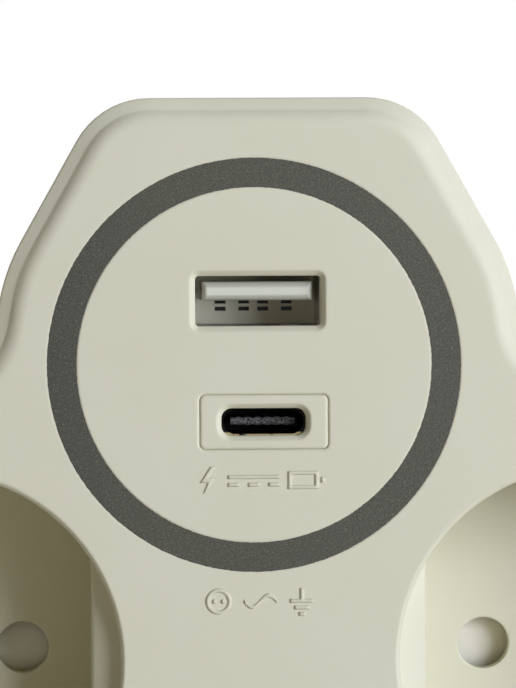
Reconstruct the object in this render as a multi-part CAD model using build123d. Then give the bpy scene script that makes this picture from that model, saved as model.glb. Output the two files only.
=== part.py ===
from build123d import *
import math
import os

# Three-way plug adapter, in millimetres: +X right, +Z up, the face looks along -Y, the plug points along +Y.
# The origin is the centre of the plug's end, midway between the roots of the pins.
# Depths are counted from the face towards the wall.

# Plug and socket standard: 4.8 mm pins on 19 mm centres in a round well
pin_spacing = 19.0
pin_radius = 2.4
pin_length = 19.0
pin_tip_width = 0.9
pin_tip_run = 1.5
well_radius = 19.8
well_depth = 17.5
flat_half = 16.8
contact_hole_radius = 2.75
earth_hole_offset = 10.0

# Body: four like lobes round the plug axis, three with a well and the top one with the charging ports
socket_offset = 34.2
end_land = 4.15
side_land = 6.45
lobe_end_half = 16.2
waist_out = 6.1
notch_flare = 1.9
end_radius = 8.6
waist_radius = 20.0
notch_radius = 10.3
corner_share = 0.98

# Covers: walls, the sloping step and the bevel of the front edge, the groove and the lip at the parting line
face_thickness = 2.4
side_wall = 1.8
rear_wall = 2.2
rear_edge = 1.6
step_height = 0.66
step_run = 0.68
step_round = 2.2
bevel_width = 1.3
bevel_depth = 0.5
parting_edge = 0.25
lip_height = 2.0
lip_wall = 1.1
lip_gap = 0.15
lip_clear = 0.6

# Socket wells
cup_wall = 1.6
well_floor = 2.0
rim_edge = 0.35
shoulder_top = 1.0
shoulder_edge = 3.2
shoulder_round = 0.5
clip_slot_top = 3.4
clip_slot_half = 3.2
clip_slot_inset = 0.6

# Earth clips, one in each well
clip_metal = 0.8
clip_half = 2.5
clip_wall_gap = 0.2
clip_bulge = 2.4
clip_bulge_depth = 9.2
clip_bulge_half = 1.3
clip_bend_run = 6.5
clip_tip_run = 3.6

# Child-safety shutters: a rotor with two wings on a pivot boss behind each well floor
shutter_gap = 0.4
shutter_thickness = 2.1
pivot_radius = 3.0
pivot_clearance = 0.08
hub_radius = 6.2
wing_radius = 12.8
wing_half_angle = 20.0
ramp_start = 1.0
ramp_depth = 1.3
ramp_rise = 7.0
spring_wire = 0.6
spring_bend = 4.4
spring_leg = 8.4
spring_clear = 0.15
peg_radius = 0.6
peg_height = 6.2
peg_gap = 0.05
ear_half = 1.2
keeper_thickness = 1.5
keeper_width = 30.0
keeper_height = 31.0
keeper_round = 3.0
keeper_hole_radius = 3.2
stake_offset = 13.5
stake_half = 1.0
stake_post_half = 2.0
stake_gap = 0.05

# Current-carrying strips and the spring leaves that grip the pins
bar_metal = 0.8
bar_width = 4.0
pad_width = 6.6
pin_tip_gap = 0.7
line_over = 8.0
line_tab = 12.2
neutral_under = 9.8
neutral_side = 6.0
neutral_across = 12.0
leaf_length = 10.5
leaf_half = 2.2
leaf_metal = 0.6
leaf_root = 2.7
leaf_throat = 2.15
leaf_throat_run = 7.2
leaf_mouth = 3.0
earth_over = 7.0
earth_width = 5.0
earth_overlap = 6.0
riser_half = 2.0
rivet_radius = 1.1
rivet_head_radius = 1.9
rivet_head = 0.6

# Plug on the rear face
plug_radius = 18.6
plug_flat_gap = 0.5
plug_wall = 2.0
plug_end = 2.5
plug_edge = 1.0
strap_gap = 2.0
strap_metal = 0.8
strap_half = 3.0
strap_side_gap = 0.1
strap_short = 0.5
earth_hole_radius = 2.6
sleeve_bore = 2.42
sleeve_wall = 0.6
pin_seat_radius = 2.9
pin_seat_gap = 0.05
pin_flange_radius = 3.6
pin_flange = 2.5
pin_tail_radius = 2.1
pin_neck_radius = 1.6
pin_head_radius = 2.7
pin_head = 0.9

# Cover screws, driven from the rear into bosses of the front cover
screw_offset = 22.5
screw_radius = 1.4
screw_length = 12.0
screw_head_radius = 2.7
screw_head = 2.0
screw_gap = 0.06
screw_boss_radius = 3.3
screw_seat = 2.0
screw_seat_depth = 2.0
screw_tube_bore = 3.2
screw_tube_wall = 1.1
screw_hole_radius = 1.7

# Face: inlaid ring and the two port openings
ring_x = -0.5
ring_height = 30.6
ring_outer = 21.33
ring_inner = 18.36
ring_metal = 0.3
wide_port_x = -0.1
wide_port_height = 37.2
wide_opening = (12.95, 5.2)
wide_opening_round = 0.45
opening_bevel = 0.55
wide_shell_front = 1.0
slim_port_x = 0.45
slim_port_height = 24.7
bezel_size = (13.25, 5.62)
bezel_round = 0.6
bezel_gap = 0.02
bezel_edge = 0.15
bezel_flange = 1.2
bezel_flange_metal = 0.9
slim_slot = (8.72, 2.84)
slim_slot_round = 1.05
slim_slot_bevel = 0.5
slim_shell_front = 1.2

# Charging ports
port_length = 12.1
wide_shell_size = (13.5, 5.75)
wide_shell_metal = 0.3
wide_shell_round = 0.5
shell_window = (2.0, 4.6)
shell_window_x = 3.6
shell_window_front = 1.6
wide_tongue = (11.3, 1.95)
wide_tongue_lift = 1.0
wide_tongue_back = 0.3
wide_tongue_edge = 0.45
wide_base = 3.0
wide_contact_x = (-3.5, -1.0, 1.0, 3.5)
wide_contact = (1.0, 0.25)
wide_pocket_width = 1.15
wide_pocket_heights = (0.5, 0.43)
wide_pocket_web = 0.32
wide_pocket_depth = 1.6
slim_shell_size = (8.94, 3.16)
slim_shell_metal = 0.3
slim_tongue = (6.69, 0.7)
slim_tongue_back = 1.3
slim_base = 5.0
slim_contact_pitch = 1.0
slim_contact_count = 6
slim_contact = (0.5, 0.06)
port_seat_gap = 0.05

# Charger board and what stands on its rear side
board_width = 31.0
board_low = 15.0
board_high = 52.0
board_thickness = 1.6
board_round = 2.0
board_post_radius = 2.3
board_posts = ((-12.5, 47.5), (12.5, 47.5), (0.0, 18.0))
board_screw_radius = 1.0
board_screw_length = 6.0
board_screw_head_radius = 1.8
board_screw_head = 1.3
core_size = (17.0, 12.0, 14.0)
core_leg_half = 2.4
core_yoke = 2.5
core_limb = 2.5
core_height = 38.0
winding_swell = 3.0
winding_gap = 0.2
input_capacitor_at = (-10.5, 26.4)
input_capacitor_radius = 4.0
input_capacitor_length = 15.0
output_capacitor_at = (9.8, 26.0)
output_capacitor_radius = 3.15
output_capacitor_length = 9.0
capacitor_edge = 0.5
rectifier_at = (0.0, 49.4)
rectifier_size = (6.0, 3.4, 2.0)
chip_at = (0.5, 23.6)
chip_size = (5.0, 4.0, 1.6)
resistor_at = (-12.6, 37.0)
resistor_radius = 1.6
resistor_length = 8.0
resistor_lead = 0.6
resistor_lead_run = 1.6
link_metal = 0.6
link_half = 1.0
link_height = 18.5
line_link_depth = 22.0
neutral_link_depth = 31.0
neutral_link_gap = 1.4

# Worked out from the sizes above
pin_half = pin_spacing / 2
lobe_reach = socket_offset + well_radius + end_land
waist_half = well_radius + side_land
waist_at = socket_offset + waist_out
notch_at = waist_half + notch_flare
floor_back = well_depth + well_floor
shutter_front = floor_back + shutter_gap
shutter_back = shutter_front + shutter_thickness
spring_depth = shutter_back + spring_clear + spring_wire / 2
keeper_front = spring_depth + spring_wire / 2 + spring_clear
keeper_back = keeper_front + keeper_thickness
clip_back = keeper_back + clip_metal
earth_back = clip_back + bar_metal
parting = clip_back + lip_clear + lip_height
bar_front = well_depth + pin_length + pin_tip_gap
bar_back = bar_front + bar_metal
strap_front = bar_back + strap_gap
rear_inner = strap_front + strap_metal
body_depth = rear_inner + rear_wall
plug_tip = body_depth + well_depth
plug_flat_half = flat_half - plug_flat_gap
board_front = face_thickness + port_length
board_back = board_front + board_thickness
seat_front = parting + screw_seat
seat_back = seat_front + screw_seat_depth
sockets = {
    "left": (-socket_offset, 0.0),
    "right": (socket_offset, 0.0),
    "bottom": (0.0, -socket_offset),
}
screw_places = [(x, z) for x in (-screw_offset, screw_offset) for z in (-screw_offset, screw_offset)]


def y_at(depth):
    return depth - plug_tip


def at_depth(depth):
    """Plane across the body at this depth behind the face, seen from the front."""
    return Plane.XZ.offset(-y_at(depth))


def slab(sketch, front, back):
    """Solid with this front-view outline, between two depths."""
    return extrude(at_depth(back) * sketch, amount=back - front)


def rod(x, z, radius, front, back):
    """Round bar along the depth."""
    return slab(Pos(x, z) * Circle(radius), front, back)


def side_profile(points, x_half):
    """Solid with this (depth, height) outline, as wide as x_half each way."""
    corners = [(y_at(depth), height) for depth, height in points]
    return extrude(Plane.YZ * make_face(Polyline(*corners, close=True)), amount=x_half, both=True)


def placed(shape, x, z):
    return Pos(x, 0, z) * shape


def strip(start, end, width):
    """Flat strip between two points on a level or upright line, with square ends round both points."""
    middle = ((start[0] + end[0]) / 2, (start[1] + end[1]) / 2)
    return Pos(*middle) * Rectangle(abs(end[0] - start[0]) + width, abs(end[1] - start[1]) + width)


def rounded_face(points, radii):
    """Closed outline through the corners, each rounded as far as its two sides allow."""
    corners = [Vector(*point) for point in points]
    count = len(corners)
    sides = [corners[(i + 1) % count] - corners[i] for i in range(count)]
    turns = [math.radians(sides[i - 1].get_angle(sides[i])) for i in range(count)]
    setbacks = [radius * math.tan(turn / 2) for radius, turn in zip(radii, turns)]
    room = [
        min(1.0, corner_share * sides[i].length / (setbacks[i] + setbacks[(i + 1) % count])) for i in range(count)
    ]
    limited = [radii[i] * min(room[i - 1], room[i]) for i in range(count)]
    return make_face(FilletPolyline(*points, radius=limited, close=True))


def body_outline():
    """Front view of the body: one quarter, from a lobe's end to the next lobe's end, turned four times."""
    quarter = [
        (lobe_end_half, lobe_reach),
        (waist_half, waist_at),
        (notch_at, notch_at),
        (waist_at, waist_half),
        (lobe_reach, lobe_end_half),
    ]
    points = []
    for turn in range(4):
        points += quarter
        quarter = [(z, -x) for x, z in quarter]
    return rounded_face(points, [end_radius, waist_radius, notch_radius, waist_radius, end_radius] * 4)


outline = body_outline()


def inset(amount):
    return offset(outline, amount=-amount, kind=Kind.INTERSECTION)


def well_space():
    """Room inside a socket well: round, with two guide shoulders that slope down to flats."""
    bowl = rod(0, 0, well_radius, 0, well_depth)
    corners = [
        (flat_half, y_at(shoulder_edge)),
        (well_radius + cup_wall, y_at(shoulder_top)),
        (well_radius + cup_wall, y_at(well_depth)),
        (flat_half, y_at(well_depth)),
    ]
    profile = make_face(Polyline(*corners, close=True))
    edge = profile.vertices().sort_by(Axis.X)[:2].sort_by(Axis.Y)[0]
    shoulder = extrude(fillet(edge, shoulder_round), amount=well_radius, both=True)
    return bowl - shoulder - mirror(shoulder, about=Plane.YZ)


def cup_back():
    """What stands behind a well floor: the shutter's pivot boss and the two posts that the keeper is staked to."""
    bosses = rod(0, 0, pivot_radius, floor_back - well_floor / 2, keeper_front)
    for height in (-stake_offset, stake_offset):
        post = Pos(0, height) * Rectangle(2 * stake_post_half, 2 * stake_post_half)
        stake = Pos(0, height) * Rectangle(2 * stake_half, 2 * stake_half)
        bosses += slab(post, floor_back - well_floor / 2, keeper_front)
        bosses += slab(stake, keeper_front, keeper_back)
    return bosses


def tapered_opening(width, height, corner, bevel):
    """Rounded opening through the face whose rim slopes in by the bevel."""
    rim = at_depth(0) * RectangleRounded(width + 2 * bevel, height + 2 * bevel, corner + bevel)
    throat = at_depth(bevel) * RectangleRounded(width, height, corner)
    through = slab(RectangleRounded(width, height, corner), bevel, face_thickness)
    return loft([rim, throat]) + through


def ring_plan():
    return Pos(ring_x, ring_height) * (Circle(ring_outer) - Circle(ring_inner))


def front_cover():
    """Deep moulded cup with the stepped face, the three wells, the port openings and the screw bosses."""
    cover = slab(outline, step_height, parting)
    cover = chamfer(cover.faces().sort_by(Axis.Y)[-1].edges(), parting_edge)
    front = cover.faces().sort_by(Axis.Y)[0]
    cover = chamfer(front.edges(), length=bevel_width, length2=bevel_depth, reference=front)
    plateau = extrude(cover.faces().sort_by(Axis.Y)[0], amount=step_height, dir=(0, -1, 0), both=True)
    top = plateau.faces().sort_by(Axis.Y)[0]
    plateau = chamfer(top.edges(), length=step_run, length2=step_height, reference=top)
    plateau = fillet(plateau.faces().sort_by(Axis.Y)[0].edges(), step_round)
    cover = cover + plateau - slab(inset(side_wall), face_thickness, parting)

    root = face_thickness / 2
    for x, z in sockets.values():
        cover += rod(x, z, well_radius + cup_wall, root, floor_back)
    for x, z in screw_places:
        cover += rod(x, z, screw_boss_radius, root, seat_front)
    for x, z in board_posts:
        cover += rod(x, z, board_post_radius, root, board_front)

    for x, z in sockets.values():
        cover -= placed(well_space(), x, z)
        cover += placed(cup_back(), x, z)
        for side in (-pin_half, pin_half):
            cover -= rod(x + side, z, contact_hole_radius, well_depth, floor_back)
        slot_middle = well_radius + (cup_wall - clip_slot_inset) / 2
        for lift in (-slot_middle, slot_middle):
            slot = Pos(x, z + lift) * Rectangle(2 * clip_slot_half, cup_wall + clip_slot_inset)
            cover -= slab(slot, clip_slot_top, floor_back)
    arcs = cover.faces().sort_by(Axis.Y)[0].edges().filter_by(GeomType.CIRCLE)
    cover = chamfer([arc for arc in arcs if math.isclose(arc.radius, well_radius)], rim_edge)

    cover -= slab(ring_plan(), 0, ring_metal)
    cover -= placed(tapered_opening(*wide_opening, wide_opening_round, opening_bevel), wide_port_x, wide_port_height)
    shell_seat = RectangleRounded(*[size + 2 * port_seat_gap for size in wide_shell_size], wide_shell_round)
    cover -= placed(slab(shell_seat, wide_shell_front, face_thickness), wide_port_x, wide_port_height)
    bezel_hole = [size + 2 * bezel_gap for size in bezel_size]
    cover -= placed(tapered_opening(*bezel_hole, bezel_round, bezel_edge), slim_port_x, slim_port_height)
    for x, z in screw_places:
        cover -= rod(x, z, screw_radius + screw_gap, seat_back - screw_length, seat_front)
    for x, z in board_posts:
        cover -= rod(x, z, board_screw_radius + screw_gap, board_back - board_screw_length, board_front)
    return cover


def rear_cover():
    """Tray that closes the back, with the hollow plug, the screw tubes and the lip that enters the front cover."""
    tray = slab(outline, parting, body_depth)
    tray = chamfer(tray.faces().sort_by(Axis.Y)[-1].edges(), rear_edge)
    tray = chamfer(tray.faces().sort_by(Axis.Y)[0].edges(), parting_edge)
    tray -= slab(inset(side_wall), parting, rear_inner)
    lip_out = side_wall + lip_gap
    lip_in = inset(lip_out + lip_wall)
    tray += slab(inset(lip_out) - lip_in, parting - lip_height, parting)
    tray += slab(inset(side_wall / 2) - lip_in, parting, parting + lip_wall)

    flats = Rectangle(2 * plug_flat_half, 2 * plug_radius)
    plug = slab(Circle(plug_radius) & flats, rear_inner, plug_tip)
    plug = chamfer(plug.faces().sort_by(Axis.Y)[-1].edges(), plug_edge)
    hollow = Circle(plug_radius - plug_wall) & Rectangle(2 * (plug_flat_half - plug_wall), 2 * plug_radius)
    tray = tray + plug - slab(hollow, rear_inner, plug_tip - plug_end)
    for x, z in screw_places:
        tray += rod(x, z, screw_tube_bore + screw_tube_wall, seat_front, body_depth - rear_wall / 2)

    for x, z in screw_places:
        tray -= rod(x, z, screw_tube_bore, seat_back, body_depth)
        tray -= rod(x, z, screw_hole_radius, seat_front, seat_back)
    for side in (-pin_half, pin_half):
        tray -= rod(side, 0, pin_seat_radius + pin_seat_gap, plug_tip - plug_end, plug_tip)
    tray -= rod(0, earth_hole_offset, earth_hole_radius, plug_tip - plug_end, plug_tip)
    groove_floor = plug_radius - strap_metal
    groove = Rectangle(2 * (strap_half + strap_side_gap), strap_metal + 2 * strap_side_gap)
    for lift in (-1, 1):
        centre = lift * (groove_floor + strap_metal / 2)
        tray -= slab(Pos(0, centre) * groove, rear_inner, plug_tip)
    return tray


def face_ring():
    return slab(ring_plan(), 0, ring_metal)


def slim_port_bezel():
    """Insert plate round the slim port, held by a flange behind the face."""
    width, height = bezel_size
    plate = slab(RectangleRounded(width, height, bezel_round), 0, face_thickness)
    plate = chamfer(plate.faces().sort_by(Axis.Y)[0].edges(), bezel_edge)
    flange = RectangleRounded(width + 2 * bezel_flange, height + 2 * bezel_flange, bezel_round)
    plate += slab(flange, face_thickness, face_thickness + bezel_flange_metal)
    plate -= tapered_opening(*slim_slot, slim_slot_round, slim_slot_bevel)
    seat = SlotOverall(slim_shell_size[0] + 2 * port_seat_gap, slim_shell_size[1] + 2 * port_seat_gap)
    plate -= slab(seat, slim_shell_front, face_thickness + bezel_flange_metal)
    return placed(plate, slim_port_x, slim_port_height)


def plug_pin(side):
    """Turned brass pin: tip, seat in the plug's end, flange behind it, tail and the riveted head on the strip."""
    pin = rod(side, 0, pin_radius, plug_tip, plug_tip + pin_length)
    tip = pin.faces().sort_by(Axis.Y)[-1]
    pin = chamfer(tip.edges(), length=pin_tip_width, length2=pin_tip_run, reference=tip)
    seat_end = plug_tip - plug_end
    pin += rod(side, 0, pin_seat_radius, seat_end, plug_tip)
    pin += rod(side, 0, pin_flange_radius, seat_end - pin_flange, seat_end)
    pin += rod(side, 0, pin_tail_radius, bar_back, seat_end - pin_flange)
    pin += rod(side, 0, pin_neck_radius, bar_front, bar_back)
    pin += rod(side, 0, pin_head_radius, bar_front - pin_head, bar_front)
    return pin


def plug_earth_strap():
    """Bent strip whose two arms lie in grooves at the top and bottom of the plug."""
    outer = plug_radius
    inner = plug_radius - strap_metal
    arm_end = plug_tip - strap_short
    corners = [
        (arm_end, outer),
        (strap_front, outer),
        (strap_front, -outer),
        (arm_end, -outer),
        (arm_end, -inner),
        (rear_inner, -inner),
        (rear_inner, inner),
        (arm_end, inner),
    ]
    return side_profile(corners, strap_half)


def plug_earth_sleeve():
    """Split-free contact sleeve behind the plug's earth hole, standing on the strap."""
    ring = Circle(sleeve_bore + sleeve_wall) - Circle(sleeve_bore)
    return placed(slab(ring, rear_inner, plug_tip - plug_end), 0, earth_hole_offset)


def contact_leaves(x, z):
    """Two spring leaves that stand on a strip, grip a pin between them and flare at the mouth."""
    inner = [
        (bar_back, leaf_root),
        (bar_front - leaf_throat_run, leaf_throat),
        (bar_front - leaf_length, leaf_mouth),
    ]
    outer = [(depth, height + leaf_metal) for depth, height in reversed(inner)]
    leaf = side_profile(inner + outer, leaf_half)
    return placed(leaf + mirror(leaf, about=Plane.XY), x, z)


def current_bar(runs, clips, pin_x):
    """Stamped strip along the runs, with leaves at each clip and a hole for the pin's neck."""
    plan = Pos(pin_x, 0) * Rectangle(pad_width, pad_width)
    for start, end in runs:
        plan += strip(start, end, bar_width)
    for x, z in clips:
        plan += Pos(x, z) * Rectangle(pad_width, pad_width)
    plan -= Pos(pin_x, 0) * Circle(pin_neck_radius + pin_seat_gap)
    bar = slab(plan, bar_front, bar_back)
    for x, z in clips:
        bar += contact_leaves(x, z)
    return bar


def line_bar():
    """From the left pin to the left well, down to the bottom well, and over the top to the right well."""
    pin = (-pin_half, 0)
    left = (-socket_offset + pin_half, 0)
    bottom = (-pin_half, -socket_offset)
    right = (socket_offset + pin_half, 0)
    over_pin = (-pin_half, line_over)
    over_right = (socket_offset + pin_half, line_over)
    runs = [(pin, left), (pin, bottom), (pin, (-pin_half, line_tab)), (over_pin, over_right), (over_right, right)]
    return current_bar(runs, [left, bottom, right], -pin_half)


def neutral_bar():
    """From the right pin to the right well, down to the bottom well, and round below to the left well."""
    pin = (pin_half, 0)
    right = (socket_offset - pin_half, 0)
    bottom = (pin_half, -socket_offset)
    left = (-socket_offset - pin_half, 0)
    under = -socket_offset - neutral_under
    side = -pin_half - neutral_side
    route = [bottom, (pin_half, under), (side, under), (side, -neutral_across), (left[0], -neutral_across), left]
    runs = [(pin, right), (pin, bottom)] + list(zip(route, route[1:]))
    return current_bar(runs, [right, bottom, left], pin_half)


def earth_bar():
    """Strip that joins the three earth clips, with a riser to the plug's strap."""
    low = -socket_offset + well_radius - earth_overlap
    plan = strip((-socket_offset, earth_over), (socket_offset, earth_over), earth_width)
    plan += strip((0, earth_over), (0, low), earth_width)
    for x, z in rivet_places():
        plan -= Pos(x, z) * Circle(rivet_radius + pin_seat_gap)
    bar = slab(plan, clip_back, earth_back)
    return bar + slab(Rectangle(2 * riser_half, bar_metal), earth_back, strap_front)


def rivet_places():
    return [
        (-socket_offset, earth_over),
        (socket_offset, earth_over),
        (0, -socket_offset + well_radius - earth_overlap),
    ]


def earth_rivets():
    """Rivets that hold the earth bar on the clips, one solid each."""
    rivets = []
    for x, z in rivet_places():
        rivet = rod(x, z, rivet_radius, keeper_back, earth_back)
        rivets.append(rivet + rod(x, z, rivet_head_radius, earth_back, earth_back + rivet_head))
    return Compound(children=rivets)


def earth_clip(place):
    """Spring strip bent to a U: its two arms lie in slots of the well wall and bulge into the well."""
    rest = well_radius + clip_wall_gap
    bulge = rest - clip_bulge
    inner = [
        (keeper_back, rest),
        (clip_bulge_depth + clip_bulge_half + clip_bend_run, rest),
        (clip_bulge_depth + clip_bulge_half, bulge),
        (clip_bulge_depth - clip_bulge_half, bulge),
        (clip_bulge_depth - clip_bulge_half - clip_tip_run, rest),
    ]
    outer = [(depth, height + clip_metal) for depth, height in reversed(inner)]
    arm = side_profile(inner + outer, clip_half)
    base = slab(Rectangle(2 * clip_half, 2 * (rest + clip_metal)), keeper_back, clip_back)
    clip = placed(base + arm + mirror(arm, about=Plane.XY), *place)
    for x, z in rivet_places():
        clip -= rod(x, z, rivet_radius + pin_seat_gap, keeper_back, clip_back)
    return clip


def shutter(place):
    """Rotor whose wings close both contact holes; its ramps turn it when two pins press together."""
    reach = wing_radius * math.cos(math.radians(wing_half_angle)) * 2
    rise = reach * math.tan(math.radians(wing_half_angle))
    fan = make_face(Polyline((0, 0), (reach, rise), (reach, -rise), close=True))
    fan += make_face(Polyline((0, 0), (-reach, rise), (-reach, -rise), close=True))
    peg_x = -(spring_bend + spring_wire / 2 + peg_gap + peg_radius)
    ear = make_hull(
        [*(Pos(peg_x, peg_height) * Circle(ear_half)).edges(), *(Pos(peg_x / 2, 0) * Circle(ear_half)).edges()]
    )
    plan = (Circle(wing_radius) & fan) + Circle(hub_radius) + ear - Circle(pivot_radius + pivot_clearance)
    rotor = slab(plan, shutter_front, shutter_back)
    wedge = [
        (shutter_front, -ramp_start),
        (shutter_front, ramp_rise - ramp_start),
        (shutter_front + ramp_depth, ramp_rise - ramp_start),
    ]
    ramp = placed(side_profile(wedge, (wing_radius - hub_radius) / 2), (wing_radius + hub_radius) / 2, 0)
    rotor -= ramp
    rotor -= Rot(0, 180, 0) * ramp
    rotor += rod(peg_x, peg_height, peg_radius, shutter_back, keeper_front - spring_clear)
    return placed(rotor, *place)


def shutter_spring(place):
    """Hairpin of square spring wire bent round the pivot, one leg on the rotor's peg and one on the keeper's."""
    inner = spring_bend - spring_wire / 2
    outer = spring_bend + spring_wire / 2
    bend = (Circle(outer) - Circle(inner)) & Pos(0, -outer / 2) * Rectangle(2 * outer, outer)
    for side in (-spring_bend, spring_bend):
        bend += Pos(side, spring_leg / 2) * Rectangle(spring_wire, spring_leg)
    return placed(slab(bend, spring_depth - spring_wire / 2, spring_depth + spring_wire / 2), *place)


def shutter_keeper(place):
    """Plate staked behind the rotor, with holes for the pins and a peg for the spring."""
    plan = RectangleRounded(keeper_width, keeper_height, keeper_round)
    for side in (-pin_half, pin_half):
        plan -= Pos(side, 0) * Circle(keeper_hole_radius)
    for lift in (-stake_offset, stake_offset):
        plan -= Pos(0, lift) * Rectangle(2 * (stake_half + stake_gap), 2 * (stake_half + stake_gap))
    peg_x = spring_bend + spring_wire / 2 + peg_gap + peg_radius
    peg = rod(peg_x, peg_height, peg_radius, shutter_back + spring_clear, keeper_front)
    keeper = slab(plan, keeper_front, keeper_back) + peg
    for x, z in rivet_places():
        hole = rod(x - place[0], z - place[1], rivet_radius + pin_seat_gap, keeper_front, keeper_back)
        keeper -= hole
    return placed(keeper, *place)


def charger_board():
    plan = Pos(0, (board_low + board_high) / 2) * RectangleRounded(board_width, board_high - board_low, board_round)
    for x, z in board_posts:
        plan -= Pos(x, z) * Circle(board_screw_radius + screw_gap)
    return slab(plan, board_front, board_back)


def board_screws():
    screws = []
    for x, z in board_posts:
        shank = rod(x, z, board_screw_radius, board_back - board_screw_length, board_back)
        screws.append(shank + rod(x, z, board_screw_head_radius, board_back, board_back + board_screw_head))
    return Compound(children=screws)


def cover_screws():
    screws = []
    for x, z in screw_places:
        shank = rod(x, z, screw_radius, seat_back - screw_length, seat_back)
        screws.append(shank + rod(x, z, screw_head_radius, seat_back, seat_back + screw_head))
    return Compound(children=screws)


def wide_port_shell():
    """Folded sheet-metal sleeve with spring windows above and below."""
    width, height = wide_shell_size
    inside = RectangleRounded(width - 2 * wide_shell_metal, height - 2 * wide_shell_metal, wide_shell_round / 2)
    shell = slab(RectangleRounded(width, height, wide_shell_round) - inside, wide_shell_front, board_front)
    window_front = wide_shell_front + shell_window_front
    for side in (-shell_window_x, shell_window_x):
        hole = Pos(side, 0) * Rectangle(shell_window[0], height)
        shell -= slab(hole, window_front, window_front + shell_window[1])
    return placed(shell, wide_port_x, wide_port_height)


def wide_port_tongue():
    """Moulded insulator: a block at the back, the tongue with a groove for each contact, and pockets under it."""
    width = wide_shell_size[0] - 2 * wide_shell_metal
    height = wide_shell_size[1] - 2 * wide_shell_metal
    base_front = board_front - wide_base
    body = slab(RectangleRounded(width, height, wide_shell_round / 2), base_front, board_front)
    tongue_front = wide_shell_front + wide_tongue_back
    tongue = slab(Pos(0, wide_tongue_lift) * Rectangle(*wide_tongue), tongue_front, base_front)
    tongue = fillet(tongue.faces().sort_by(Axis.Y)[0].edges(), wide_tongue_edge)
    body += tongue
    contact_width, contact_metal = wide_contact
    under = wide_tongue_lift - wide_tongue[1] / 2
    upper, lower = wide_pocket_heights
    for x in wide_contact_x:
        groove = Pos(x, under + contact_metal / 2) * Rectangle(contact_width, contact_metal)
        body -= slab(groove, tongue_front + 2 * wide_tongue_edge, base_front + wide_pocket_depth)
        for top, tall in ((under, upper), (under - upper - wide_pocket_web, lower)):
            pocket = Pos(x, top - tall / 2) * Rectangle(wide_pocket_width, tall)
            body -= slab(pocket, base_front, base_front + wide_pocket_depth)
    return placed(body, wide_port_x, wide_port_height)


def wide_port_contacts():
    """Four leaf contacts in the grooves of the tongue, one solid each."""
    under = wide_tongue_lift - (wide_tongue[1] - wide_contact[1]) / 2
    front = wide_shell_front + wide_tongue_back + 2 * wide_tongue_edge
    back = board_front - wide_base + wide_pocket_depth
    leaves = [
        placed(slab(Pos(x, under) * Rectangle(*wide_contact), front, back), wide_port_x, wide_port_height)
        for x in wide_contact_x
    ]
    return Compound(children=leaves)


def slim_port_shell():
    """Drawn seamless sleeve with round ends."""
    inside = SlotOverall(slim_shell_size[0] - 2 * slim_shell_metal, slim_shell_size[1] - 2 * slim_shell_metal)
    return placed(
        slab(SlotOverall(*slim_shell_size) - inside, slim_shell_front, board_front), slim_port_x, slim_port_height
    )


def slim_port_tongue():
    """Moulded insulator: a plug at the back of the sleeve with a thin blade in the middle."""
    inside = SlotOverall(slim_shell_size[0] - 2 * slim_shell_metal, slim_shell_size[1] - 2 * slim_shell_metal)
    base_front = board_front - slim_base
    blade = slab(Rectangle(*slim_tongue), slim_shell_front + slim_tongue_back, base_front)
    return placed(slab(inside, base_front, board_front) + blade, slim_port_x, slim_port_height)


def slim_port_contacts():
    """Flat contacts on both sides of the blade, one solid each."""
    front = slim_shell_front + slim_tongue_back + slim_contact[0]
    leaves = []
    for side in (-1, 1):
        height = slim_port_height + side * (slim_tongue[1] + slim_contact[1]) / 2
        for i in range(slim_contact_count):
            x = slim_port_x + (i - (slim_contact_count - 1) / 2) * slim_contact_pitch
            leaves.append(slab(Pos(x, height) * Rectangle(*slim_contact), front, board_front - slim_base))
    return Compound(children=leaves)


def transformer_core():
    """Ferrite core with three limbs between two yokes; the yokes lie on the board side and the wall side."""
    width, height, depth = core_size
    core = slab(Rectangle(width, height), board_back, board_back + depth)
    window_width = width / 2 - core_limb - core_leg_half
    window_middle = core_leg_half + window_width / 2
    for side in (-window_middle, window_middle):
        window = Pos(side, 0) * Rectangle(window_width, height)
        core -= slab(window, board_back + core_yoke, board_back + depth - core_yoke)
    return placed(core, 0, core_height)


def transformer_winding():
    """Wound and taped coil round the middle limb."""
    width, height, depth = core_size
    coil_half = width / 2 - core_limb - winding_gap
    plan = RectangleRounded(2 * coil_half, height + 2 * winding_swell, winding_swell)
    plan -= Rectangle(2 * (core_leg_half + winding_gap), height + winding_gap)
    front = board_back + core_yoke + winding_gap
    return placed(slab(plan, front, board_back + depth - core_yoke - winding_gap), 0, core_height)


def capacitor(place, radius, length):
    """Electrolytic capacitor standing on the board."""
    can = rod(*place, radius, board_back, board_back + length)
    return chamfer(can.faces().sort_by(Axis.Y)[-1].edges(), capacitor_edge)


def chip(place, size):
    width, height, depth = size
    return slab(Pos(*place) * Rectangle(width, height), board_back, board_back + depth)


def fusible_resistor():
    """Round body lying along the board, on a wire that is bent down to the board at both ends."""
    x, z = resistor_at
    axis_y = y_at(board_back + resistor_radius)
    board_y = y_at(board_back)
    wire_half = resistor_length / 2 + resistor_lead_run
    path = Polyline(
        (x, board_y, z - wire_half),
        (x, axis_y, z - wire_half),
        (x, axis_y, z + wire_half),
        (x, board_y, z + wire_half),
    )
    section = Plane(origin=path @ 0, z_dir=path % 0) * Rectangle(resistor_lead, resistor_lead)
    wire = sweep(section, path=path, transition=Transition.RIGHT)
    return wire + Pos(x, axis_y, z) * Cylinder(resistor_radius, resistor_length)


def board_link(x, start_height, turn_depth):
    """Bent strip from a current bar to the board: towards the face, up, and towards the face again."""
    half = link_metal / 2
    corners = [
        (bar_front, start_height - half),
        (turn_depth - half, start_height - half),
        (turn_depth - half, link_height - half),
        (board_back, link_height - half),
        (board_back, link_height + half),
        (turn_depth + half, link_height + half),
        (turn_depth + half, start_height + half),
        (bar_front, start_height + half),
    ]
    return placed(side_profile(corners, link_half), x, 0)


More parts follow.
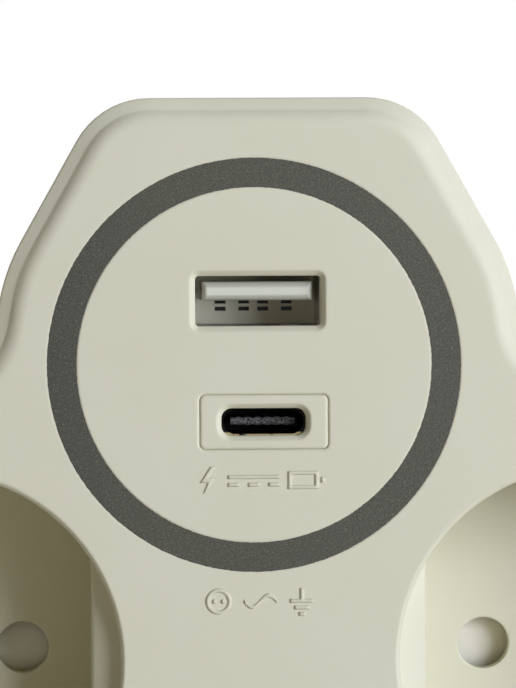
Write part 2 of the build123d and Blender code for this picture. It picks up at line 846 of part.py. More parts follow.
nodes = {
    "front_cover": front_cover(),
    "rear_cover": rear_cover(),
    "face_ring": face_ring(),
    "slim_port_bezel": slim_port_bezel(),
    "line_pin": plug_pin(-pin_half),
    "neutral_pin": plug_pin(pin_half),
    "plug_earth_strap": plug_earth_strap(),
    "plug_earth_sleeve": plug_earth_sleeve(),
    "line_bar": line_bar(),
    "neutral_bar": neutral_bar(),
    "earth_bar": earth_bar(),
    "earth_rivets": earth_rivets(),
    "charger_board": charger_board(),
    "board_screws": board_screws(),
    "cover_screws": cover_screws(),
    "wide_port_shell": wide_port_shell(),
    "wide_port_tongue": wide_port_tongue(),
    "wide_port_contacts": wide_port_contacts(),
    "slim_port_shell": slim_port_shell(),
    "slim_port_tongue": slim_port_tongue(),
    "slim_port_contacts": slim_port_contacts(),
    "transformer_core": transformer_core(),
    "transformer_winding": transformer_winding(),
    "input_capacitor": capacitor(input_capacitor_at, input_capacitor_radius, input_capacitor_length),
    "output_capacitor": capacitor(output_capacitor_at, output_capacitor_radius, output_capacitor_length),
    "bridge_rectifier": chip(rectifier_at, rectifier_size),
    "controller_chip": chip(chip_at, chip_size),
    "fusible_resistor": fusible_resistor(),
    "line_link": board_link(-pin_half, line_tab, line_link_depth),
    "neutral_link": board_link(pin_half + pin_head_radius + neutral_link_gap, 0, neutral_link_depth),
}
for name, place in sockets.items():
    nodes[name + "_earth_clip"] = earth_clip(place)
    nodes[name + "_shutter"] = shutter(place)
    nodes[name + "_shutter_spring"] = shutter_spring(place)
    nodes[name + "_shutter_keeper"] = shutter_keeper(place)

os.makedirs("parts", exist_ok=True)
for node, shape in nodes.items():
    export_step(shape, f"parts/{node}.step")
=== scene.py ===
import math

import bmesh
import bpy
from mathutils import Matrix, Vector, noise


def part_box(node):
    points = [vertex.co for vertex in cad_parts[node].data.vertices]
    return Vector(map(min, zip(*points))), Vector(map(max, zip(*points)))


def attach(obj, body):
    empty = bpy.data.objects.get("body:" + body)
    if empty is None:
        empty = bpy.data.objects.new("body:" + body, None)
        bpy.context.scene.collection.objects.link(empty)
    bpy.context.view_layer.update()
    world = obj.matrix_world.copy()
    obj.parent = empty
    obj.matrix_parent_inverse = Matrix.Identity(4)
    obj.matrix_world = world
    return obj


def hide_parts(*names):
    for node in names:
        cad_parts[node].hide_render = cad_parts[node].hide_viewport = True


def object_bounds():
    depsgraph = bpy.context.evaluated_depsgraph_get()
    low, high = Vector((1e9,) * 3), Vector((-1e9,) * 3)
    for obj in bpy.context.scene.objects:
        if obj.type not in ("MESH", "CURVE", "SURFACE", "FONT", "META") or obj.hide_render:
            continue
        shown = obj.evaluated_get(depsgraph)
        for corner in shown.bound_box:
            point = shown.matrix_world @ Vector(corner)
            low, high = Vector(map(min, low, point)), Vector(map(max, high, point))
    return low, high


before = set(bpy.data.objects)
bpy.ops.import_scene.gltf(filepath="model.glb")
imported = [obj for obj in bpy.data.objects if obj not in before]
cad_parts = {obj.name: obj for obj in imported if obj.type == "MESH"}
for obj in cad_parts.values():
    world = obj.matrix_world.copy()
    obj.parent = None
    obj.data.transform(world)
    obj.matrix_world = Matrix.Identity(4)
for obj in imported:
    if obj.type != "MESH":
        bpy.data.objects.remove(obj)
cad_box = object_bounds()

# Front cover
# Deep cup of ivory ABS with three socket wells, injection moulded in one shot and screwed on from the rear.
# The tool was finely spark-eroded, so its faces are satin, with a faint grain and softly rounded edges.
MM = 0.001
abs_tones = ("#CBC7A9", "#CDC9AC")
abs_patch = 14
abs_grain = 0.22
abs_lift = 0.002
abs_edge = 0.4
abs_gloss = 0.2
tone_stops = (0.3, 0.7)
patch_detail = 3.0
grain_detail = 1.0
edge_samples = 8


def linear(hex_code):
    """Linear RGBA of an sRGB hex colour."""
    parts = [int(hex_code[i:i + 2], 16) / 255 for i in (1, 3, 5)]
    return [c / 12.92 if c <= 0.04045 else ((c + 0.055) / 1.055) ** 2.4 for c in parts] + [1.0]


def add(tree, kind, sockets=None, **settings):
    """Add one shader node; a socket takes a value or another node's output."""
    made = tree.nodes.new("ShaderNode" + kind)
    for key, value in settings.items():
        setattr(made, key, value)
    for key, value in (sockets or {}).items():
        if isinstance(value, bpy.types.NodeSocket):
            tree.links.new(value, made.inputs[key])
        else:
            made.inputs[key].default_value = value
    return made


def surface(name, tones, patch, grain, lift, run=(1, 1, 1), edge=0, **constants):
    """Material of two close tones in patches, with a fine grain of some lift and rounded edges, sizes in mm.
    Both patterns are drawn out along an axis by run, and the constants go straight to the shader."""
    material = bpy.data.materials.new(name)
    material.use_nodes = True
    tree = material.node_tree
    shader = tree.nodes["Principled BSDF"]
    place = add(tree, "TexCoord").outputs["Object"]
    stretch = [1 / length for length in run]
    along = add(tree, "Mapping", {"Vector": place, "Scale": stretch}).outputs["Vector"]
    patches = add(tree, "TexNoise", {"Vector": along, "Scale": 1 / (patch * MM), "Detail": patch_detail})
    tint = add(tree, "ValToRGB", {"Fac": patches.outputs["Fac"]})
    for stop, position, tone in zip(tint.color_ramp.elements, tone_stops, tones):
        stop.position = position
        stop.color = linear(tone)
    tree.links.new(tint.outputs["Color"], shader.inputs["Base Color"])
    grit = add(tree, "TexNoise", {"Vector": along, "Scale": 1 / (grain * MM), "Detail": grain_detail})
    bump = add(tree, "Bump", {"Height": grit.outputs["Fac"], "Distance": lift * MM})
    if edge:
        rounded = add(tree, "Bevel", {"Radius": edge * MM}, samples=edge_samples)
        tree.links.new(rounded.outputs["Normal"], bump.inputs["Normal"])
    tree.links.new(bump.outputs["Normal"], shader.inputs["Normal"])
    for socket, value in constants.items():
        shader.inputs[socket].default_value = value
    return material


def dress(material, *names):
    """Give CAD nodes their material."""
    for name in names:
        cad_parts[name].material_slots[0].material = material


# Satin ivory with no mirror in it; the erosion grain is finer in truth and drawn coarse enough to show.
ivory_abs = surface(
    "moulded_abs_ivory", abs_tones, abs_patch, abs_grain, abs_lift, edge=abs_edge,
    **{"Roughness": 0.5, "IOR": 1.54, "Specular IOR Level": abs_gloss},
)
dress(ivory_abs, "front_cover", "slim_port_bezel")

# Raised marks on the face
# Plain signs moulded with the front cover: a bolt, direct current and a battery under the charging ports,
# and a socket, alternating current and earth at the middle of the body. All stand a little proud.
mark_height = 0.14
mark_bed = 0.05
mark_edge = 0.12
stroke = 0.42
port_marks_at = (-0.1, 18.7)
bolt = [
    (-5.0, 1.45), (-6.1, -0.25), (-5.3, -0.25), (-5.75, -1.45), (-4.45, 0.3), (-5.25, 0.3), (-4.4, 1.45),
]
direct_x = -0.5
direct_length = 5.4
direct_lines = (0.35, -0.45)
dash_length = 1.2
dash_pitch = 2.1
battery_x = 4.6
battery_size = (3.2, 1.9)
tip_share = 1 / 3
mains_marks_at = (0.0, 6.2)
socket_x = -4.3
socket_radius = 1.35
socket_hole = 0.24
socket_pitch = 0.9
wave_length = 3.4
wave_swing = 0.6
earth_x = 4.3
earth_stem = 1.35
earth_bars = ((0.0, 2.5), (-0.68, 1.6), (-1.36, 0.7))
face_y = cad_box[0].y
weld_reach = 0.001
rim_steps = 32
wave_steps = 24
edge_steps = 2
upright = 0.5


def piece(bm, name, material, body="adapter"):
    """Object made of a mesh drawn in mm, riding on a body."""
    bmesh.ops.remove_doubles(bm, verts=bm.verts, dist=weld_reach)
    bmesh.ops.recalc_face_normals(bm, faces=bm.faces)
    bmesh.ops.scale(bm, vec=(MM, MM, MM), verts=bm.verts)
    mesh = bpy.data.meshes.new(name)
    bm.to_mesh(mesh)
    bm.free()
    mesh.materials.append(material)
    made = bpy.data.objects.new(name, mesh)
    bpy.context.scene.collection.objects.link(made)
    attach(made, body)
    return made


def bar_mark(bm, x, y, width, height):
    """Plain bar, half of it under the face."""
    shape = Matrix.Translation((x, y, 0)) @ Matrix.Diagonal((width, height, 2 * mark_height, 1))
    bmesh.ops.create_cube(bm, size=1, matrix=shape)


def raise_mark(bm, faces):
    """Draw flat faces up from under the face of the cover to the marks' height."""
    drawn = bmesh.ops.extrude_face_region(bm, geom=faces)["geom"]
    tops = [v for v in drawn if isinstance(v, bmesh.types.BMVert)]
    bmesh.ops.translate(bm, verts=tops, vec=(0, 0, 2 * mark_height))


def flat_mark(bm, points):
    """Sign with a drawn outline."""
    raise_mark(bm, [bm.faces.new([bm.verts.new((x, y, -mark_height)) for x, y in points])])


def frame_mark(bm, x, y, width, height):
    """Hollow rectangle, one stroke wide."""
    rims = []
    for inset in (0, stroke):
        right, top = width / 2 - inset, height / 2 - inset
        corners = [(-right, -top), (right, -top), (right, top), (-right, top)]
        rims.append([bm.verts.new((x + along, y + up, -mark_height)) for along, up in corners])
    outer, inner = rims
    raise_mark(bm, [bm.faces.new((outer[i - 1], outer[i], inner[i], inner[i - 1])) for i in range(4)])


def round_mark(bm, x, y, outer, inner):
    """Ring, or a dot where the inner radius is nought."""
    middle = Matrix.Translation((x, y, -mark_height))
    rims = []
    for radius in (outer, inner):
        if radius:
            loop = bmesh.ops.create_circle(bm, segments=rim_steps, radius=radius, matrix=middle)["verts"]
            rims += list({edge for vert in loop for edge in vert.link_edges})
    if inner:
        raise_mark(bm, bmesh.ops.bridge_loops(bm, edges=rims)["faces"])
    else:
        raise_mark(bm, bmesh.ops.edgeloop_fill(bm, edges=rims)["faces"])


def wave_mark(bm, x, y, length, swing):
    """One period of a wave, as a flat strip bent to a sine."""
    shape = Matrix.Translation((x, y, -mark_height)) @ Matrix.Diagonal((length, stroke, 1, 1))
    strip = bmesh.ops.create_grid(bm, x_segments=wave_steps, y_segments=1, size=0.5, matrix=shape)["verts"]
    for vert in strip:
        vert.co.y += swing * math.sin((vert.co.x - x) / length * math.tau)
    raise_mark(bm, list({face for vert in strip for face in vert.link_faces}))


def mark_piece(bm, name, place):
    """Round the upper edges of the marks, cut off what lies deep in the face and stand them on it."""
    bm.normal_update()
    tops = [edge for edge in bm.edges if all(vert.co.z > mark_height - weld_reach for vert in edge.verts)]
    rims = [edge for edge in tops if any(face.normal.z < upright for face in edge.link_faces)]
    bmesh.ops.bevel(
        bm, geom=rims, offset=mark_edge, segments=edge_steps, affect="EDGES", profile=0.5, material=-1
    )
    for vert in bm.verts:
        vert.co.z = max(vert.co.z, -mark_bed)
    stand = Matrix.Translation((place[0], face_y / MM, place[1])) @ Matrix.Rotation(math.radians(90), 4, "X")
    bmesh.ops.transform(bm, matrix=stand, verts=bm.verts)
    return piece(bm, name, ivory_abs)


bm = bmesh.new()
flat_mark(bm, bolt)
bar_mark(bm, direct_x, direct_lines[0], direct_length, stroke)
for step in (-1, 0, 1):
    bar_mark(bm, direct_x + step * dash_pitch, direct_lines[1], dash_length, stroke)
wide, tall = battery_size
frame_mark(bm, battery_x, 0, wide, tall)
bar_mark(bm, battery_x + wide / 2 + stroke, 0, stroke, tall * tip_share)
port_marks = mark_piece(bm, "port_marks", port_marks_at)

bm = bmesh.new()
round_mark(bm, socket_x, 0, socket_radius, socket_radius - stroke)
for side in (-1, 1):
    round_mark(bm, socket_x + side * socket_pitch / 2, 0, socket_hole, 0)
wave_mark(bm, 0, 0, wave_length, wave_swing)
lift, width = earth_bars[0]
half = stroke / 2
tee = [
    (-width / 2, lift - half), (width / 2, lift - half), (width / 2, lift + half), (half, lift + half),
    (half, earth_stem), (-half, earth_stem), (-half, lift + half), (-width / 2, lift + half),
]
flat_mark(bm, [(earth_x + along, up) for along, up in tee])
for lift, width in earth_bars[1:]:
    bar_mark(bm, earth_x, lift, width, stroke)
mains_marks = mark_piece(bm, "mains_marks", mains_marks_at)

# Ring let into the face
# Band of filled grey film, die-cut and rolled warm into a groove of the cover. Its left part is painted
# darker as shade, and both edges wander and lap over the groove.
ring_band = 2.97
ring_tones = ("#38372B", "#4E4D3D")
left_shade_tone = "#1E1E1A"
left_shade_span = (-90, -30)
left_shade_soft = 40
ring_grit = 0.22
film_grain = 0.16
film_lift = 0.01
film_gloss = 0.35
speck_size = 0.1
speck_limits = (0.62, 0.74)
speck_tone = "#7C7967"
film_proud = 0.02
film_lap = 0.03
film_wander = 0.045
wander_length = 0.35
edges_apart = 7
ring_steps = 900


def specks(material, size, limits):
    """Factor that is 1 in single specks of a size in mm; the lower the two limits, the more of them."""
    tree = material.node_tree
    place = tree.nodes["Texture Coordinate"].outputs["Object"]
    grit = add(tree, "TexNoise", {"Vector": place, "Scale": 1 / (size * MM), "Detail": grain_detail})
    least, most = limits
    rise = {"Value": grit.outputs["Fac"], "From Min": least, "From Max": most}
    return add(tree, "MapRange", rise).outputs["Result"]


def lay_over(material, tone, *factors):
    """Lay a tone over the colour of a material where all the factors are 1."""
    tree = material.node_tree
    share = factors[0]
    for factor in factors[1:]:
        share = add(tree, "Math", {0: share, 1: factor}, operation="MULTIPLY").outputs[0]
    base = tree.nodes["Principled BSDF"].inputs["Base Color"]
    under = base.links[0].from_socket
    mix = add(tree, "Mix", {0: share, 6: under, 7: linear(tone)}, data_type="RGBA")
    tree.links.new(mix.outputs[2], base)


def inside(material, soft=0.02, **spans):
    """Factors that are 1 between two places along the axes given and fall off over a soft width, in mm."""
    tree = material.node_tree
    place = tree.nodes["Texture Coordinate"].outputs["Object"]
    along = add(tree, "SeparateXYZ", {"Vector": place}).outputs
    factors = []
    for axis, ends in spans.items():
        for end, half in zip(ends, (soft / 2, -soft / 2)):
            rise = {"Value": along[axis], "From Min": (end - half) * MM, "From Max": (end + half) * MM}
            factors.append(add(tree, "MapRange", rise).outputs["Result"])
    return factors


# Matt warm grey that glints in single points; its mineral filler is drawn coarse enough to show.
film = surface(
    "filled_film_grey", ring_tones, ring_grit, film_grain, film_lift,
    **{"Roughness": 0.6, "Specular IOR Level": film_gloss},
)
# Painted shade: the left part of the band is laid in a darker tone.
lay_over(film, left_shade_tone, *inside(film, left_shade_soft, X=left_shade_span))
lay_over(film, speck_tone, specks(film, speck_size, speck_limits))
low, high = [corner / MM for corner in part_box("face_ring")]
ring_middle = (low + high) / 2
outer = (high.x - low.x) / 2
inner = outer - ring_band
section = [
    (inner, high.y), (inner, low.y), (inner - film_lap, low.y), (inner - film_lap, low.y - film_proud),
    (outer + film_lap, low.y - film_proud), (outer + film_lap, low.y), (outer, low.y), (outer, high.y),
]
bm = bmesh.new()
corners = [bm.verts.new((radius, y, 0)) for radius, y in section]
edges = [bm.edges.new((corners[i - 1], corners[i])) for i in range(len(corners))]
bmesh.ops.spin(
    bm, geom=corners + edges, cent=(0, 0, 0), axis=(0, 1, 0), angle=math.tau, steps=ring_steps, use_merge=True
)
for vert in bm.verts:
    radius = math.hypot(vert.co.x, vert.co.z)
    if inner - weld_reach < radius < outer + weld_reach:
        continue
    edge_at = Vector((vert.co.x, edges_apart * (radius > outer), vert.co.z))
    share = film_wander * noise.noise(edge_at / wander_length)
    grown = (radius + share) / radius
    vert.co.x *= grown
    vert.co.z *= grown
bmesh.ops.translate(bm, verts=bm.verts, vec=(ring_middle.x, 0, ring_middle.z))
ring = piece(bm, "grey_ring_film", film)
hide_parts("face_ring")

# Child-safety shutters, one behind each well floor
# Rotors of natural acetal that slide on the pins' tips, each with a hairpin of drawn spring steel and
# a keeper plate of glass-filled nylon that is staked on the posts of the well.
# Acetal: creamy white with a soft, waxy gloss.
acetal = surface(
    "moulded_acetal_natural", tones=("#DAD5BD", "#E0DBC6"), patch=6, grain=0.3, lift=0.001,
    Roughness=0.34, IOR=1.48,
)
# Nylon: dull off-white, streaked by short fibres along the flow, which are drawn coarse enough to show.
nylon = surface(
    "glass_filled_nylon", tones=("#C9C4B2", "#D6D1C1"), patch=1.2, grain=0.25, lift=0.006, run=(4, 1, 1),
    Roughness=0.55, IOR=1.53,
)
# Spring steel: mid grey metal with fine drawing lines.
spring_steel = surface(
    "drawn_spring_steel", tones=("#8E8E8D", "#A3A3A1"), patch=0.4, grain=0.12, lift=0.002, run=(1, 1, 6),
    Metallic=1.0, Roughness=0.3,
)
for side in ("left", "right", "bottom"):
    dress(acetal, side + "_shutter")
    dress(spring_steel, side + "_shutter_spring")
    dress(nylon, side + "_shutter_keeper")

# Earth clips, earth bar and its rivets
# Clips of spring bronze with a bright nickel plate, bent to a U and rubbed by the plugs that pass them.
# The bar is stamped from half-hard brass and riveted to the three clips; the sheet keeps its rolling lines.
# Nickel: bright metal, a little warm, with faint rub lines.
nickel = surface(
    "bright_nickel_plate", tones=("#BDB9AF", "#CDCAC1"), patch=2.5, grain=0.3, lift=0.003, run=(1, 5, 1),
    Metallic=1.0, Roughness=0.26,
)
# Brass: yellow metal, half bright, with rolling lines.
brass = surface(
    "rolled_brass_sheet", tones=("#B38F4A", "#C9A962"), patch=3.5, grain=0.25, lift=0.003, run=(5, 1, 1),
    Metallic=1.0, Roughness=0.34,
)
dress(nickel, "left_earth_clip", "right_earth_clip", "bottom_earth_clip")
dress(brass, "earth_bar", "earth_rivets")

# Wide port
# Sleeve of tin-plated steel sheet, its floor painted darker as shade, round a warm white polyester insulator
# whose pockets are painted dark and tongue edges grey as shade. The leaf contacts have a gold flash over
# nickel.
floor_shade_tone = "#7B776D"
floor_shade_height = 0.33
edge_shade_tone = "#9D9C88"
front_zone_depth = 0.5
front_core_tone = "#C1C1AB"
front_core_half = (5.25, 0.42)
front_core_soft = 0.22
tongue_lift = 1.0
pocket_shade_tone = "#221A10"
base_depth = 3.0
base_skin = 0.1
past_edge = 0.3
# Tin: pale metal, softly bright, with faint drawing lines.
tin_plate = surface(
    "tin_plated_sheet", tones=("#DAD8D0", "#E4E2DB"), patch=1.6, grain=0.2, lift=0.004, run=(1, 6, 1),
    Metallic=1.0, Roughness=0.35,
)
low, high = [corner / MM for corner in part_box("wide_port_shell")]
# Painted shade: the floor of the sleeve is laid in a darker tone.
lay_over(tin_plate, floor_shade_tone, *inside(tin_plate, Z=(low.z - past_edge, low.z + floor_shade_height)))
dress(tin_plate, "wide_port_shell")
# Polyester: warm white, soft gloss, lighter than the tongue's front core as painted light on the shaded back
# wall;
# painted grey as shade round the tongue's front edges, and dark as shade in the pockets.
polyester = surface(
    "moulded_polyester_white", tones=("#DEDABC", "#E5E1C3"), patch=4, grain=0.25, lift=0.002,
    Roughness=0.42, IOR=1.57,
)
low, high = [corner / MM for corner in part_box("wide_port_tongue")]
middle = (low + high) / 2
front_core_x = (middle.x - front_core_half[0], middle.x + front_core_half[0])
front_core_z = (middle.z + tongue_lift - front_core_half[1], middle.z + tongue_lift + front_core_half[1])
tongue_front = inside(polyester, Y=(low.y - past_edge, low.y + front_zone_depth))
front_core_part = inside(polyester, front_core_soft, X=front_core_x, Z=front_core_z)
pockets = inside(polyester, Y=(high.y - base_depth + base_skin, high.y + past_edge))
# Painted shade: the front of the tongue is laid grey round its rounded edges; its core keeps a tone of its
# own.
lay_over(polyester, edge_shade_tone, *tongue_front)
lay_over(polyester, front_core_tone, *front_core_part, *tongue_front)
# Painted shade: the pockets behind the back wall are laid dark.
lay_over(polyester, pocket_shade_tone, *pockets)
dress(polyester, "wide_port_tongue")
# Gold: thin and warm, half bright.
gold_flash = surface(
    "gold_flash_bronze", tones=("#B8934E", "#CFAE6C"), patch=0.8, grain=0.1, lift=0.002,
    Metallic=1.0, Roughness=0.3,
)
dress(gold_flash, "wide_port_contacts")

# Slim port
# Drawn brass sleeve with a black plate that plugs have rubbed off the lower part of its front edge, round a
# black blade of liquid-crystal polymer; the contacts end in a fine grey glitter along the blade's front.
worn_depth = 0.16
worn_height = 0.5
worn_size = 0.5
worn_limits = (0.3, 0.45)
worn_tone = "#9C9069"
glitter_depth = 0.2
glitter_span = (-0.25, 0.5)
glitter_size = 0.16
glitter_limits = (0.4, 0.6)
end_tones = ("#21211F", "#615F5A")
blade_gloss = 0.1
# Black plate: nearly black metal with a dull shine, and dull brass where it is worn.
black_plate = surface(
    "black_plated_brass", tones=("#121211", "#1B1B19"), patch=1.2, grain=0.15, lift=0.002,
    Metallic=1.0, Roughness=0.42,
)
low, high = [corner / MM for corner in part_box("slim_port_shell")]
worn_y = (low.y - past_edge, low.y + worn_depth)
worn_z = (low.z - past_edge, low.z + worn_height)
worn_edge = inside(black_plate, Y=worn_y, Z=worn_z)
lay_over(black_plate, worn_tone, *worn_edge, specks(black_plate, worn_size, worn_limits))
dress(black_plate, "slim_port_shell")
# Polymer: flat black that takes hardly any light.
polymer = surface(
    "moulded_polymer_black", tones=("#1E1E1B", "#262622"), patch=1.5, grain=0.15, lift=0.002,
    **{"Roughness": 0.55, "Specular IOR Level": blade_gloss},
)
low, high = [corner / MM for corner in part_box("slim_port_tongue")]
middle = (low + high) / 2
ends_y = (low.y - past_edge, low.y + glitter_depth)
ends_z = (middle.z + glitter_span[0], middle.z + glitter_span[1])
contact_ends = inside(polymer, Y=ends_y, Z=ends_z)
lay_over(polymer, end_tones[0], *contact_ends)
lay_over(polymer, end_tones[1], *contact_ends, specks(polymer, glitter_size, glitter_limits))
dress(polymer, "slim_port_tongue")
# Palladium: dark grey metal, half dull.
palladium = surface(
    "palladium_flash", tones=("#4B4945", "#5A5853"), patch=0.8, grain=0.1, lift=0.002,
    Metallic=1.0, Roughness=0.45,
)
dress(palladium, "slim_port_contacts")

# Charger board and what is soldered to it
# Glass-epoxy laminate under green lacquer, held on three posts by small zinc screws. On its rear side stand
# the transformer, two capacitors in shrink sleeve, two black chips and a lacquered resistor.
# Laminate: deep glassy green; the weave just shows.
laminate = surface(
    "lacquered_glass_epoxy", tones=("#1F5A35", "#2A6B40"), patch=0.7, grain=0.35, lift=0.01,
    Roughness=0.3, IOR=1.55,
)
# Zinc: bright metal, a little blue.
zinc = surface(
    "zinc_plated_steel", tones=("#C6C8CA", "#D2D3D3"), patch=1.5, grain=0.2, lift=0.003,
    Metallic=1.0, Roughness=0.33,
)
# Ferrite: dark grey and dull, like fine stone.
ferrite = surface(
    "sintered_ferrite", tones=("#38383B", "#47474A"), patch=0.9, grain=0.12, lift=0.01, Roughness=0.62
)
# Tape: shiny yellow film that shows its turns.
tape = surface(
    "wound_polyester_tape", tones=("#D2A63A", "#DDB650"), patch=2.0, grain=0.3, lift=0.004, run=(6, 1, 6),
    Roughness=0.25, IOR=1.6,
)
# Sleeve: smooth black with a bluish shine.
sleeve = surface(
    "shrink_sleeve_black", tones=("#232330", "#2D2D3B"), patch=2.5, grain=0.3, lift=0.003,
    Roughness=0.28, IOR=1.53,
)
# Resin: matt black with a fine tooth.
resin = surface(
    "moulded_epoxy_black", tones=("#232322", "#2E2E2C"), patch=0.8, grain=0.12, lift=0.006, Roughness=0.6
)
# Lacquer: pale blue, dipped, so a little glossy.
lacquer = surface(
    "resistor_lacquer_blue", tones=("#5E8598", "#6D95A8"), patch=1.2, grain=0.3, lift=0.004, Roughness=0.35
)
dress(laminate, "charger_board")
dress(zinc, "board_screws")
dress(ferrite, "transformer_core")
dress(tape, "transformer_winding")
dress(sleeve, "input_capacitor", "output_capacitor")
dress(resin, "bridge_rectifier", "controller_chip")
dress(lacquer, "fusible_resistor")

# Line and neutral bars and the links from them to the board
# Bars stamped from brass sheet with spring leaves folded up at each contact hole.
# The links are bent from tinned copper strip and soldered at both ends.
# Tinned copper: grey metal, a little clouded.
tinned = surface(
    "tinned_copper_strip", tones=("#B4B5B2", "#C5C5C1"), patch=1.2, grain=0.2, lift=0.004, run=(1, 1, 5),
    Metallic=1.0, Roughness=0.42,
)
dress(brass, "line_bar", "neutral_bar")
dress(tinned, "line_link", "neutral_link")

# Rear cover with the plug
# Tray and hollow plug in one ABS moulding of the same batch as the front cover, with its colour and grain.
# It closes on the front cover at a lip, and four screws hold it.
dress(ivory_abs, "rear_cover")

# Plug pins, earth strap and earth sleeve
# Pins turned from brass bar and nickel plated, riveted to the current bars; the strap's arms lie in the
# plug's sides. The sleeve behind the earth hole is plain drawn brass.
dress(nickel, "line_pin", "neutral_pin", "plug_earth_strap")
dress(brass, "plug_earth_sleeve")

# Cover screws
# Zinc-plated steel screws for plastics with a domed head, a tapered cross recess and a coarse rolled thread,
# driven from the rear down four tubes of the rear cover into the bosses of the front cover.
head_radius = 2.7
head_height = 2.0
crown_radius = 1.6
dome_radius = 2.55
dome_drop = 0.22
shoulder_drop = 0.5
under_radius = 2.6
recess_arm = 1.5
recess_half = 0.42
recess_depth = 1.3
recess_taper = 0.5
shank_radius = 1.15
point_run = 1.6
point_taper = 0.25
thread_radius = 1.4
thread_pitch = 1.1
thread_start = 0.8
thread_steps = 20
head_steps = 36
ridge_half = 0.32
ridge_root = 0.1


def loop_of(verts):
    """Edges that join the given vertices."""
    among = set(verts)
    return [edge for edge in {e for v in verts for e in v.link_edges} if set(edge.verts) <= among]


def draw_on(bm, verts, drop, scale):
    """Extrude a loop of edges along -Z and scale it about the Z axis; gives the new loop."""
    drawn = bmesh.ops.extrude_edge_only(bm, edges=loop_of(verts))["geom"]
    fresh = [v for v in drawn if isinstance(v, bmesh.types.BMVert)]
    bmesh.ops.translate(bm, verts=fresh, vec=(0, 0, -drop))
    bmesh.ops.scale(bm, vec=(scale, scale, 1), verts=fresh)
    return fresh


def crown(bm):
    """Flat top of the head, at the origin, with the cross sunk into it; gives its rim."""
    quarter = [(recess_half, recess_arm), (recess_half, recess_half), (recess_arm, recess_half)]
    outline = []
    for turn in range(4):
        outline += quarter
        quarter = [(y, -x) for x, y in quarter]
    cross = [bm.verts.new((x, y, 0)) for x, y in outline]
    for i in range(len(cross)):
        bm.edges.new((cross[i - 1], cross[i]))
    recess_floor = draw_on(bm, cross, recess_depth, recess_taper)
    bmesh.ops.edgeloop_fill(bm, edges=loop_of(recess_floor))
    rim = bmesh.ops.create_circle(bm, segments=head_steps, radius=crown_radius, cap_ends=False)["verts"]
    bmesh.ops.bridge_loops(bm, edges=loop_of(cross) + loop_of(rim))
    return rim


low, high = [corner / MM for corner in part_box("cover_screws")]
screw_length = high.y - low.y
head_profile = (
    (dome_radius, dome_drop), (head_radius, shoulder_drop),
    (head_radius, head_height - dome_drop - shoulder_drop), (under_radius, 0),
    (shank_radius, 0), (shank_radius, screw_length - head_height - point_run),
    (shank_radius * point_taper, point_run),
)
bm = bmesh.new()
rim = crown(bm)
radius = crown_radius
for next_radius, drop in head_profile:
    rim = draw_on(bm, rim, drop, next_radius / radius)
    radius = next_radius
bmesh.ops.edgeloop_fill(bm, edges=loop_of(rim))
turns = int((screw_length - head_height - thread_start - point_run) / thread_pitch)
root = shank_radius - ridge_root
ridge = [
    bm.verts.new((radius, 0, rise - head_height - thread_start))
    for radius, rise in ((root, ridge_half), (thread_radius, 0), (root, -ridge_half))
]
ridge_edges = [bm.edges.new((ridge[i - 1], ridge[i])) for i in range(len(ridge))]
end = bmesh.ops.spin(
    bm, geom=ridge + ridge_edges, cent=(0, 0, 0), axis=(0, 0, 1), dvec=(0, 0, -thread_pitch / thread_steps),
    angle=turns * math.tau, steps=turns * thread_steps,
)["geom_last"]
bmesh.ops.edgeloop_fill(bm, edges=ridge_edges)
bmesh.ops.edgeloop_fill(bm, edges=[e for e in end if isinstance(e, bmesh.types.BMEdge)])
bmesh.ops.rotate(bm, verts=bm.verts, cent=(0, 0, 0), matrix=Matrix.Rotation(math.radians(-90), 3, "X"))
first = list(bm.verts) + list(bm.edges) + list(bm.faces)
for x in (low.x + head_radius, high.x - head_radius):
    for z in (low.z + head_radius, high.z - head_radius):
        copy = bmesh.ops.duplicate(bm, geom=first)["geom"]
        fresh = [v for v in copy if isinstance(v, bmesh.types.BMVert)]
        bmesh.ops.translate(bm, verts=fresh, vec=(x, high.y, z))
bmesh.ops.delete(bm, geom=[v for v in first if isinstance(v, bmesh.types.BMVert)], context="VERTS")
screws = piece(bm, "recessed_cover_screws", zinc)
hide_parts("cover_screws")

# Floor
# Sheet of pale painted board under the lowest lobe; it takes the soft shadow and is no part of the adapter.
# Further off it fades to the white of the room, as a sheet does that is curved up behind.
floor_size = 3000
board_tones = ("#E4DAC3", "#E7DEC9")
near_white = 0.3
fade_from = 200
fade_to = 700


def to_the_eye(tree):
    """Factor that is 1 for what is seen, straight or in a reflection, and 0 for what lights other things."""
    ray = add(tree, "LightPath").outputs
    seen = ray["Is Camera Ray"]
    for kind in ("Is Glossy Ray", "Is Transmission Ray"):
        seen = add(tree, "Math", {0: seen, 1: ray[kind]}, operation="MAXIMUM").outputs[0]
    return seen


# Matt, pale and slightly warm.
board = surface("painted_board_pale", board_tones, patch=60, grain=0.8, lift=0.01, Roughness=0.9)
tree = board.node_tree
place = tree.nodes["Texture Coordinate"].outputs["Object"]
away = add(tree, "VectorMath", {0: place}, operation="LENGTH").outputs["Value"]
distances = {"Value": away, "From Min": fade_from * MM, "From Max": fade_to * MM, "To Min": near_white}
fade = add(tree, "MapRange", distances)
share = add(tree, "Math", {0: fade.outputs["Result"], 1: to_the_eye(tree)}, operation="MULTIPLY")
white = add(tree, "Emission", {"Color": (1, 1, 1, 1), "Strength": 1.0})
painted = tree.nodes["Principled BSDF"].outputs["BSDF"]
faded = add(tree, "MixShader", {0: share.outputs[0], 1: painted, 2: white.outputs[0]})
tree.links.new(faded.outputs[0], tree.nodes["Material Output"].inputs["Surface"])
bm = bmesh.new()
bmesh.ops.create_grid(bm, x_segments=1, y_segments=1, size=floor_size * MM / 2)
bmesh.ops.translate(bm, verts=bm.verts, vec=(0, 0, cad_box[0].z))
floor_mesh = bpy.data.meshes.new("floor")
bm.to_mesh(floor_mesh)
bm.free()
floor_mesh.materials.append(board)
floor = bpy.data.objects.new("floor", floor_mesh)
bpy.context.scene.collection.objects.link(floor)

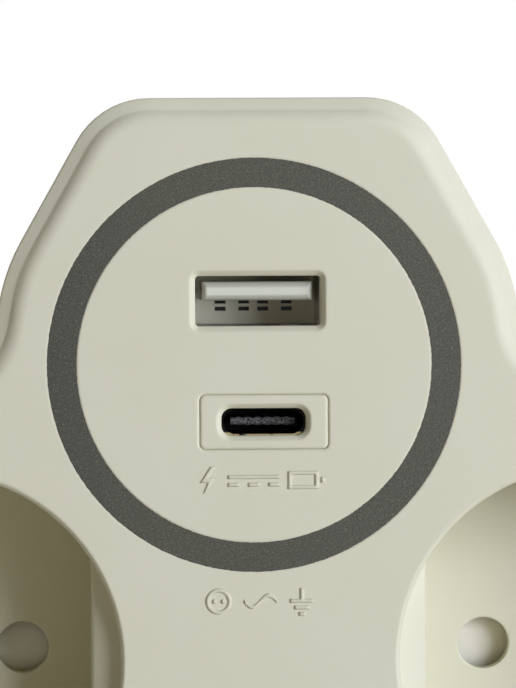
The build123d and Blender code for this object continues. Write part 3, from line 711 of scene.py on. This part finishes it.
# Surroundings
# A white room: white to the eye and in reflections, while what falls on the adapter is dimmer and warm,
# as light is that has come back off a wooden bench.
room_tint = "#FFE87E"
room_level = 0.06
world = bpy.data.worlds.new("studio")
bpy.context.scene.world = world
world.use_nodes = True
tree = world.node_tree
tree.nodes.clear()
bounced = add(tree, "Background", {"Color": linear(room_tint), "Strength": room_level})
white = add(tree, "Background", {"Color": (1, 1, 1, 1), "Strength": 1.0})
room = add(tree, "MixShader", {0: to_the_eye(tree), 1: bounced.outputs[0], 2: white.outputs[0]})
add(tree, "OutputWorld", {"Surface": room.outputs[0]})

# Key lamp
# One large soft box to the right of the face and a little above it, cool like a window beside the bench.
key_out = 45
key_up = 10
key_watts = 13.8
key_tint = "#DEE5FF"
lamp_far = 900
lamp_size = 600
aim_height = 30
lamp_aim = Vector((0, face_y, aim_height * MM))


def soft_box(name, out, up, watts, tint):
    """Square lamp aimed at the upper face, from so many degrees out of the front and up."""
    lamp = bpy.data.lights.new(name, "AREA")
    lamp.energy = watts
    lamp.size = lamp_size * MM
    lamp.color = linear(tint)[:3]
    made = bpy.data.objects.new(name, lamp)
    towards = Vector((0, -1, 0))
    towards.rotate(Matrix.Rotation(math.radians(-up), 3, "X"))
    towards.rotate(Matrix.Rotation(math.radians(out), 3, "Z"))
    made.location = lamp_aim + lamp_far * MM * towards
    made.rotation_euler = (-towards).to_track_quat("-Z", "Y").to_euler()
    bpy.context.scene.collection.objects.link(made)


soft_box("key", key_out, key_up, key_watts, key_tint)

# Rear lamp
# A second soft box behind the adapter and to its left, out of reach of the face.
# It is for whoever walks round to the plug.
rear_out = 205
rear_up = 15
rear_watts = 8
soft_box("rear", rear_out, rear_up, rear_watts, key_tint)

# Camera
# It stands a forearm's length before the face, a little to the left of it and above it, and leans slightly.
# The view takes in the upper lobe and the inner halves of the two wells beside it.
view_height = 70.9
view_middle = Vector((-0.11 * MM, face_y, 32.76 * MM))
camera_far = 450
camera_left = 2.5
camera_above = 1.6
camera_roll = 0.3
sensor_width = 36
camera_data = bpy.data.cameras.new("camera")
camera_data.sensor_width = sensor_width
camera_data.lens = sensor_width * camera_far / view_height
camera = bpy.data.objects.new("camera", camera_data)
aside = Matrix.Rotation(math.radians(-camera_left), 4, "Z")
tilt = Matrix.Rotation(math.radians(90 - camera_above), 4, "X")
back_off = Matrix.Translation((0, 0, camera_far * MM))
lean = Matrix.Rotation(math.radians(-camera_roll), 4, "Z")
camera.matrix_world = Matrix.Translation(view_middle) @ aside @ tilt @ back_off @ lean
bpy.context.scene.collection.objects.link(camera)
bpy.context.scene.camera = camera
bpy.context.scene.view_settings.view_transform = "Standard"
